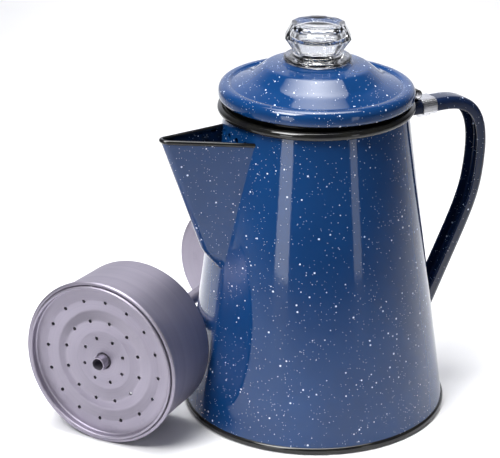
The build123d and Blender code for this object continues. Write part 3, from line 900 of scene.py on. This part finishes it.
def build_handle():
    """Channel strap with a crowned web and two flanges turned towards the pot."""
    half, wall = HANDLE_W / 2, HANDLE_SHEET
    corners = [(-half, -HANDLE_DEPTH + 1), (-half, -HANDLE_DEPTH), (-half + wall, -HANDLE_DEPTH)]
    corners += [(-half + wall, -wall), (half - wall, -wall), (half - wall, -HANDLE_DEPTH)]
    corners += [(half, -HANDLE_DEPTH), (half, 0), (-half, 0), (-half, -HANDLE_DEPTH + 1)]
    section = rounded(corners, [0.5, 0.5, 1.2, 1.2, 0.5, 0.5, HANDLE_CROWN, HANDLE_CROWN], 14)[:-1]
    line = [Vector((p.x, 0, p.y)) for p in handle_path()]
    top = [line[0] + Vector((x, 0, 0)) for x in (-18.0, -12.0, -6.0)]
    leg_way = Vector((-HANDLE_SLOPE, 0, -1)).normalized()
    leg = [line[-1] + leg_way * s for s in (8.0, 16.0, 24.0, 30.0)]
    line = top + line + leg
    rings = sweep_rings(line, section)
    rings.insert(0, [to_wall(p, Vector((-1, 0, 0))) for p in rings[0]])
    rings.append([to_wall(p, leg_way) for p in rings[-1]])
    bm = capped(rings)
    # the whole handle is painted navy: painted shade on the handle
    return piece("handle_visual", bm, POT, "pot", "blue_enamel", ["handle"], black=lambda p: HANDLE_PAINTED_SHADE)


# ---------------------------------------------------------------- lid hinge
def curl(start, centre, radius, side, sweep):
    """Straight run from start, tangent to a circle and then curled round it by sweep degrees."""
    start, centre = Vector(start), Vector(centre)
    away = centre - start
    angle = atan2(away.y, away.x) + side * asin(radius / away.length)
    touch = start + Vector((cos(angle), sin(angle))) * sqrt(away.length**2 - radius**2)
    first = atan2(touch.y - centre.y, touch.x - centre.x)
    count = ceil(sweep / 12)
    arc = [first - side * radians(sweep) * i / count for i in range(count + 1)]
    return [centre + Vector((radius * cos(t), radius * sin(t))) for t in arc]


def strip(line, sheet, y_min, y_max):
    """Bent strip with a side view in X and Z, between two places along Y."""
    return slab_mesh(sheet_loop(line, sheet, 3), lambda u, v, w: Vector((u, w, v)), (y_min, y_max))


def build_hinge_clip():
    """Strap folded round the handle, its ends pinched below, its leaf curled round the pin."""
    half = HANDLE_W / 2 + CLIP_SHEET / 2
    low = HANDLE_TOP_Z - HANDLE_DEPTH - CLIP_SHEET / 2
    high = HANDLE_TOP_Z + CLIP_SHEET / 2
    tail = low - CLIP_TAIL
    pinch = CLIP_SHEET / 2 + 0.02
    round_r = HANDLE_CROWN + CLIP_SHEET / 2
    corners = [(pinch, tail), (pinch, low), (half, low), (half, high), (-half, high), (-half, low)]
    corners += [(-pinch, low), (-pinch, tail)]
    line = rounded(corners, [0.5, 1.0, round_r, round_r, 1.0, 0.5], 12)
    x_low, x_high = CLIP_X - CLIP_LENGTH / 2, CLIP_X + CLIP_LENGTH / 2
    stations = [x_low + e for e in (0, 0.3, 0.8, 1.6)] + [x_high - e for e in (1.6, 0.8, 0.3, 0)]

    def place(u, v, w):
        edge = min(w - x_low, x_high - w)
        lift = 1.6 - sqrt(max(1.6**2 - (1.6 - min(edge, 1.6)) ** 2, 0.0))
        return Vector((w, u, max(v, tail - CLIP_SHEET / 2 + lift)))

    bm = slab_mesh(sheet_loop(line, CLIP_SHEET, 3), place, stations)
    strap = bevelled(piece("hinge_clip_strap", bm, POT, "pot", "tinned_steel", ["hinge_clip"]), 0.18)
    leaf_line = [Vector((CLIP_X - 2, high)), Vector((x_low, high))]
    leaf_line += curl((x_low, high), (HINGE.x, HINGE.y), EYE_R - CLIP_SHEET / 2, 1, 285)
    bm = strip(leaf_line, CLIP_SHEET, -LEAF_W / 2, LEAF_W / 2)
    leaf = bevelled(piece("hinge_clip_leaf", bm, POT, "pot", "tinned_steel", ["hinge_clip"]), 0.12)
    return strap, leaf


def build_hinge_pin():
    """Pin with a small domed head at each end."""
    end, head = HINGE_W / 2 + 0.3, PIN_R + 0.7
    half = [(0, end + 0.6), (head - 0.5, end + 0.6), (head, end + 0.3), (head, end), (PIN_R, end)]
    line = half + [(r, -z) for r, z in half[::-1]]
    bm = lathe_mesh([Vector(p) for p in line], 40, closed=False)
    turn = Matrix.Rotation(pi / 2, 4, "X")
    place = Matrix.Translation(Vector((HINGE.x, 0, HINGE.y)) * MM) @ turn
    return piece("hinge_pin_visual", bm, place, "pot", "tinned_steel", ["hinge_pin"])


def build_lid_hinge_tab():
    """Black tab at the back of the lid, its two ears curled round the pin."""
    inner = LEAF_W / 2 + HINGE_GAP
    outer = HINGE_W / 2
    root = rounded([(50.2, 173.4), (54.6, 172.0), (55.6, 168.1)], [1.6], 8)
    ears = root[:-1] + curl(root[-2], (HINGE.x, HINGE.y), EYE_R - TAB_SHEET / 2, -1, 282)
    bm = strip(root, TAB_SHEET, -inner, inner)
    for low, high in ((-outer, -inner), (inner, outer)):
        joined(bm, strip(ears, TAB_SHEET, low, high))
    tab = piece("lid_hinge_tab_visual", bm, LID, "lid", "black_enamel", ["lid_hinge_tab"])
    return bevelled(tab, 0.15)


# ---------------------------------------------------------------- lid
LID_LINE = (
    ((45.4, 164.0), 0.0),
    ((45.4, 170.4), 1.0),
    ((50.4, 170.4), 2.4),
    ((50.4, 178.2), 3.6),
    ((45.6, 178.2), 0.8),
    ((44.4, 177.3), 0.7),
    ((34.5, 181.5), 14.0),
    ((26.8, 187.6), 4.5),
    ((18.6, 188.9), 1.0),
    ((16.8, LID_COLLAR_Z - SHEET / 2), 0.9),
    ((13.7, LID_COLLAR_Z - SHEET / 2), 0.0),
)


def build_lid_shell():
    """One pressing from the skirt to the knob's collar, black inside and along its edges."""
    line = rounded([p for p, _ in LID_LINE], [r for _, r in LID_LINE[1:-1]], 7)
    line = spaced(line, 1.6)
    loop = sheet_loop(line, SHEET, 5)
    inner_count = len(line)

    def tint(index, p):
        if index >= inner_count:
            skirt = fade(p.y, 170.6, 171.3)
            collar = fade(p.x, 14.6, 15.2)
            return 1.0 - (1.0 - skirt) * (1.0 - collar)
        return 1.0

    def notched(r, z, t):
        off = abs((degrees(t) % 180.0) - 90.0)
        weight = fade(off, LID_NOTCH_ANGLE / 2 - 1.0, LID_NOTCH_ANGLE / 2 + 1.0)
        if z < LID_COLLAR_Z - 3.0 or r > 16.2 or weight == 0.0:
            return r, z
        wide = LID_NOTCH_R + (r - 13.2) * (16.2 - LID_NOTCH_R) / (16.2 - 13.2)
        return r + (wide - r) * weight, z

    tints = [tint(i, p) for i, p in enumerate(loop)]
    bm = lathe_mesh(loop, 240, shape=notched, tints=tints)
    return piece("lid_shell_visual", bm, LID, "lid", "blue_enamel", ["lid_shell"])


# ---------------------------------------------------------------- knob
def facet_r(corner_r, t):
    """Radius of a twelve-sided outline with slightly fire-rounded corners."""
    pitch = 2 * pi / KNOB_SIDES
    off = (t + pitch / 2) % pitch - pitch / 2
    flat = corner_r * cos(pitch / 2) / cos(off)
    e = pitch / 2 - abs(off)
    hub = corner_r - KNOB_FIRE_ROUND / cos(pitch / 2)
    if hub * sin(e) > KNOB_FIRE_ROUND * sin(pitch / 2):
        return flat
    return min(flat, hub * cos(e) + sqrt(KNOB_FIRE_ROUND**2 - (hub * sin(e)) ** 2))


def knob_angles():
    """Close steps at each facet's corner, wide ones over the flat."""
    pitch = 360.0 / KNOB_SIDES
    half_steps = (4.0, 8.0, 11.0, 12.8, 13.5, 14.0, 14.5)
    steps = (-pitch / 2, *[-s for s in half_steps[::-1]], 0.0, *half_steps)
    return [radians(pitch * k + s) for k in range(KNOB_SIDES) for s in steps]


def build_glass_knob():
    """Hollow knob: dished top, cut crown and belly, waist, flange, neck with two lugs, and the bore."""
    dish_ball = (KNOB_DISH_R**2 + KNOB_DISH_DEPTH**2) / (2 * KNOB_DISH_DEPTH)
    dish = []
    for i in range(9):
        r = KNOB_DISH_R * i / 8
        dish.append(Vector((r, KNOB_H - KNOB_DISH_DEPTH + dish_ball - sqrt(dish_ball**2 - r * r))))
    side = [(KNOB_DISH_R - 0.5, KNOB_H - 0.2), (KNOB_DISH_R + 0.3, KNOB_H), (KNOB_TOP_R, KNOB_H)]
    side += [(KNOB_GIRDLE_R, KNOB_GIRDLE_H), (KNOB_WAIST_R + 0.5, KNOB_WAIST_H)]
    side += [(KNOB_WAIST_R + 0.4, KNOB_FLANGE_H + 0.5), (KNOB_FLANGE_R, KNOB_FLANGE_H)]
    side += [(KNOB_FLANGE_R, 0), (KNOB_NECK_R, 0), (KNOB_NECK_R, -KNOB_NECK_DEPTH)]
    side += [(KNOB_BORE_R, -KNOB_NECK_DEPTH), (KNOB_BORE_R, KNOB_WAIST_H)]
    side += [(KNOB_BORE_R + 2.0, KNOB_GIRDLE_H), (KNOB_BORE_R + 0.6, KNOB_H - 4.2), (0, KNOB_H - 4.2)]
    radii = [0.3, 0.45, 0.7, 1.6, 1.2, 0.9, 0.9, 0.4, 0.8, 0.5, 2.0, 2.5, 3.0]
    line = dish[:-1] + spaced(rounded(side, radii, 14), 1.3)
    bore_from = next(i for i, p in enumerate(line) if p.y < -KNOB_NECK_DEPTH + 0.5 and p.x < 11.5)
    index = {tuple(p): i for i, p in enumerate(line)}

    def shape(r, z, t):
        outside = index[(r, z)] < bore_from
        if outside and z > KNOB_FLANGE_H + 0.6 and r > KNOB_DISH_R + 0.4:
            cut = fade(z, KNOB_WAIST_H + 1.2, KNOB_WAIST_H - 1.0)
            top = fade(r, KNOB_DISH_R + 2.2, KNOB_DISH_R + 0.4) if z > KNOB_H - 0.35 else 1.0
            weight = cut * top
            return r + (facet_r(r, t) - r) * weight, z
        if outside and KNOB_LUG_LOW < z < KNOB_LUG_HIGH:
            off = abs(((degrees(t) + 90.0) % 180.0) - 90.0)
            return r + (KNOB_LUG_R - r) * fade(off, KNOB_LUG_ANGLE / 2 - 1, KNOB_LUG_ANGLE / 2 + 1), z
        return r, z

    bm = lathe_mesh(line, shape=shape, closed=False, angles=knob_angles())
    place = LID @ Matrix.Translation((0, 0, KNOB_SEAT * MM))
    return piece("glass_knob_visual", bm, place, "knob", "clear_glass", ["glass_knob"], sharp=17)


# ---------------------------------------------------------------- basket
def build_basket_cup():
    """Cup with a punched floor and a rolled edge."""
    half = BASKET_SHEET / 2
    line = rounded([(5.3, BASKET_FLOOR_Z + half), (41.8, BASKET_FLOOR_Z + half), (42.7, 157.2)], [3.0], 9)
    line = spaced(line, 1.15)
    loop = sheet_loop(line, BASKET_SHEET, 3)
    bm = lathe_mesh(loop, 240)
    holes = []
    for radius, count in BASKET_RINGS:
        holes += ring_of_holes(radius, count, BASKET_FLOOR_Z + half, BASKET_HOLE_R, 0.5)
    punch(bm, holes)
    joined(bm, lathe_mesh(circle_loop(BASKET_BEAD_MID_R, BASKET_BEAD_Z, BASKET_BEAD_R, 24), 240))
    return piece("basket_cup_visual", bm, PUMP, "basket", "aluminium", ["basket_cup"])


def build_basket_sleeve():
    """Sleeve up the middle of the basket, flanged on its floor."""
    low, high = BASKET_FLOOR_Z - 0.2, SLEEVE_TOP
    step = BASKET_FLOOR_Z + BASKET_SHEET
    seam = (low + high) / 2
    corners = [(SLEEVE_BORE_R, seam), (SLEEVE_BORE_R, high), (SLEEVE_R, high), (SLEEVE_R, step + 1)]
    corners += [(SLEEVE_R + 1.6, step + 1), (SLEEVE_R + 1.6, step + 0.02), (SLEEVE_R, step + 0.02)]
    corners += [(SLEEVE_R, low), (SLEEVE_BORE_R, low), (SLEEVE_BORE_R, seam)]
    line = rounded(corners, [0.35, 0.35, 0.6, 0.4, 0.1, 0.1, 0.2, 0.2], 15)[:-1]
    bm = lathe_mesh(line, 96)
    return piece("basket_sleeve_visual", bm, PUMP, "basket", "aluminium", ["basket_sleeve"])


def ring_of_holes(radius, count, z, hole_r, margin, first=0.0):
    """Holes for punch() on a pitch circle about the pump's axis."""
    out = []
    for i in range(count):
        t = radians(first + 360.0 * i / count)
        out.append(((radius * cos(t), radius * sin(t), z), (0, 0, 1), hole_r, hole_r + margin))
    return out


def build_spreader_plate():
    """Corrugated water spreader with rings of small holes, a turned-up wall and a rolled edge."""
    corners = [(SPREADER_BORE_R + 0.35, SPREADER_Z - 0.9), (16.0, SPREADER_Z - 1.5)]
    corners += [(22.5, SPREADER_Z - 0.1), (27.8, SPREADER_Z - 1.7), (33.6, SPREADER_Z)]
    corners += [(SPREADER_WALL_R, SPREADER_Z), (SPREADER_WALL_R, SPREADER_BEAD_Z)]
    line = spaced(rounded(corners, [4.0, 3.2, 3.2, 3.2, 1.2], 5), 0.75)
    bm = lathe_mesh(sheet_loop(line, SPREADER_SHEET, 3), 288)
    holes = []
    for radius, count in SPREADER_RINGS:
        holes += ring_of_holes(radius, count, SPREADER_Z - 0.8, SPREADER_HOLE_R, 0.45, SPREADER_FIRST_HOLE)
    punch(bm, holes)
    bead = circle_loop(SPREADER_BEAD_MID_R, SPREADER_BEAD_Z, SPREADER_BEAD_R, 20)
    joined(bm, lathe_mesh(bead, 288))
    return piece("spreader_plate_visual", bm, PUMP, "spreader", "aluminium", ["spreader_plate"])


# ---------------------------------------------------------------- pump
def build_stem_tube():
    """Pump tube with its rolled stop and a dressed tip."""
    bulge = []
    for i in range(9):
        t = pi * (i / 8 - 0.5)
        bulge.append((TUBE_R - 0.1 + (TUBE_STOP_R - 0.1) * cos(t), TUBE_STOP_Z + TUBE_STOP_R * sin(t)))
    seam = PUMP_H / 2
    corners = [(TUBE_R, seam), (TUBE_R, TUBE_STOP_Z - 2.0), *bulge, (TUBE_R, TUBE_STOP_Z + 2.0)]
    corners += [(TUBE_R, PUMP_H), (TUBE_BORE_R, PUMP_H), (TUBE_BORE_R, TUBE_START)]
    corners += [(TUBE_R, TUBE_START), (TUBE_R, seam)]
    radii = [0.5] + [0.0] * len(bulge) + [0.5, 0.2, 0.25, 0.1, 0.1]
    bm = lathe_mesh(rounded(corners, radii, 18)[:-1], 96)
    return piece("stem_tube_visual", bm, PUMP, "pump", "aluminium", ["stem_tube"])


def build_stem_foot():
    """Dished foot with a boiling dome and four notches in its turned-down edge."""
    half = SHEET / 2
    corners = [(PUMP_FOOT_R - half, half), (PUMP_FOOT_R - half, 4.6), (PUMP_DOME_R + 4.0, 5.4)]
    corners += [(PUMP_DOME_R, PUMP_DOME_H - half), (TUBE_R + half, PUMP_DOME_H - half)]
    line = spaced(rounded(corners, [1.8, 1.5, 2.0], 7), 1.4)

    def notched(r, z, t):
        off = (degrees(t) % 90.0) - 45.0
        along = abs(radians(off)) * PUMP_FOOT_R
        if r < PUMP_FOOT_R - 2.5 or along >= FOOT_NOTCH_R:
            return r, z
        floor = sqrt(FOOT_NOTCH_R**2 - along**2)
        return r, z if z > 3.2 else floor + z * (3.2 - floor) / 3.2

    bm = lathe_mesh(sheet_loop(line, SHEET, 4), 320, shape=notched)
    return piece("stem_foot_visual", bm, PUMP, "pump", "aluminium", ["stem_foot"])


def build_stem_ferrule():
    """Ring that stakes the tube into the foot."""
    low, high = PUMP_DOME_H, PUMP_DOME_H + 2.6
    seam = (low + high) / 2
    outside = TUBE_R + 1.8
    corners = [(TUBE_R, seam), (TUBE_R, high), (outside, high)]
    corners += [(outside, low), (TUBE_R, low), (TUBE_R, seam)]
    bm = lathe_mesh(rounded(corners, [0.1, 0.8, 0.15, 0.1], 15)[:-1], 72)
    return piece("stem_ferrule_visual", bm, PUMP, "pump", "aluminium", ["stem_ferrule"])


def build_object():
    """Every piece, body by body."""
    build_pot_body()
    build_base_pan()
    build_spout()
    build_handle()
    build_hinge_clip()
    build_hinge_pin()
    build_lid_hinge_tab()
    build_lid_shell()
    build_glass_knob()
    build_basket_cup()
    build_basket_sleeve()
    build_spreader_plate()
    build_stem_tube()
    build_stem_foot()
    build_stem_ferrule()


# ---------------------------------------------------------------- studio
TABLE_R = 4.0  # metres


def build_floor():
    """Round pale table top, large enough to reach past every edge of the picture."""
    bm = bmesh.new()
    bmesh.ops.create_circle(bm, cap_ends=True, radius=TABLE_R, segments=96)
    mesh = bpy.data.meshes.new("studio_floor")
    bm.to_mesh(mesh)
    bm.free()
    floor = bpy.data.objects.new("studio_floor", mesh)
    bpy.context.scene.collection.objects.link(floor)
    floor.data.materials.append(studio_floor())
    floor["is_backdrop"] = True


def area_light(name, at, size, energy, spread, aim):
    """White softbox at a place in metres, aimed at a point."""
    light = bpy.data.lights.new(name, "AREA")
    light.shape = "RECTANGLE"
    light.size, light.size_y = size
    light.energy = energy
    light.spread = radians(spread)
    obj = bpy.data.objects.new(name, light)
    obj.location = at
    obj.rotation_euler = (at - aim).to_track_quat("Z", "Y").to_euler()
    bpy.context.scene.collection.objects.link(obj)


def from_camera(right, ahead, up):
    """Point in metres from the pot's foot, along and across the camera's heading."""
    heading = -radians(CAMERA_TURN[0])
    x = right * cos(heading) + ahead * sin(heading)
    return Vector((x, ahead * cos(heading) - right * sin(heading), up))


def build_lights():
    """Dim sky that brightens behind the object, and the softboxes."""
    world = bpy.data.worlds.new("studio")
    world.use_nodes = True
    tree = world.node_tree
    sky = tree.nodes["Background"]
    sky.inputs["Color"].default_value = SKY_TINT
    facing = tree.nodes.new("ShaderNodeTexCoord")
    ahead = tree.nodes.new("ShaderNodeVectorMath")
    ahead.operation = "DOT_PRODUCT"
    ahead.inputs[1].default_value = from_camera(0, 1, 0)
    tree.links.new(facing.outputs["Generated"], ahead.inputs[0])
    backdrop = tree.nodes.new("ShaderNodeMapRange")
    backdrop.interpolation_type = "SMOOTHSTEP"
    tree.links.new(ahead.outputs["Value"], backdrop.inputs["Value"])
    for key, number in zip(("From Min", "From Max", "To Min", "To Max"), BACKDROP):
        backdrop.inputs[key].default_value = number
    tree.links.new(backdrop.outputs["Result"], sky.inputs["Strength"])
    bpy.context.scene.world = world
    for name, at, size, energy, spread, aim in SOFTBOXES:
        area_light(name, from_camera(*at), size, energy, spread, from_camera(*aim))


def build_camera():
    """Long lens at the photograph's viewing angle."""
    data = bpy.data.cameras.new("camera")
    data.lens = CAMERA_LENS
    data.sensor_width = 36.0
    camera = bpy.data.objects.new("camera", data)
    yaw, pitch, roll = [radians(a) for a in CAMERA_TURN]
    turn = Matrix.Rotation(yaw, 4, "Z") @ Matrix.Rotation(pi / 2 + pitch, 4, "X")
    turn = turn @ Matrix.Rotation(roll, 4, "Z")
    camera.matrix_world = Matrix.Translation(CAMERA_AT) @ turn
    bpy.context.scene.collection.objects.link(camera)
    bpy.context.scene.camera = camera


SKY_TINT = rgba(0.90, 0.92, 1.0)
# share of the view ahead where the backdrop starts and is full, and its dim and bright strengths
BACKDROP = (0.5, 0.95, 0.10, 1.0)
# name, place, size, watts, spread and aim, with places as (right, ahead, up) of the camera's heading
SOFTBOXES = (
    ("top", (-0.03, 0.12, 1.0), (0.8, 0.62), 3.0, 70.0, (-0.03, 0.12, 0.0)),
    ("table_top", (-0.1, 0.6, 1.0), (1.2, 0.6), 0.9, 50.0, (-0.1, 0.6, 0.0)),
    ("key", (-0.5, -0.5, 1.0), (0.5, 0.5), 1.8, 60.0, (0.0, 0.0, 0.05)),
    ("strip_left", (-0.34, -0.50, 0.15), (0.15, 0.30), 0.20, 120.0, (0.0, 0.0, 0.12)),
    ("strip_right", (0.40, -0.46, 0.15), (0.09, 0.30), 0.06, 120.0, (0.0, 0.0, 0.12)),
    ("background", (0.0, 1.4, 1.0), (1.2, 1.2), 5.5, 60.0, (0.0, 1.4, 0.0)),
)
CAMERA_AT = (-0.47037, -0.80623, 0.48533)
CAMERA_TURN = (-28.14, -22.567, -0.2028)
CAMERA_LENS = 136.72

build_object()
build_floor()
build_lights()
build_camera()
bpy.context.scene.view_settings.view_transform = "Standard"

boxes = [[list(corner) for corner in pair] for pair in (CAD_BOX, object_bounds())]
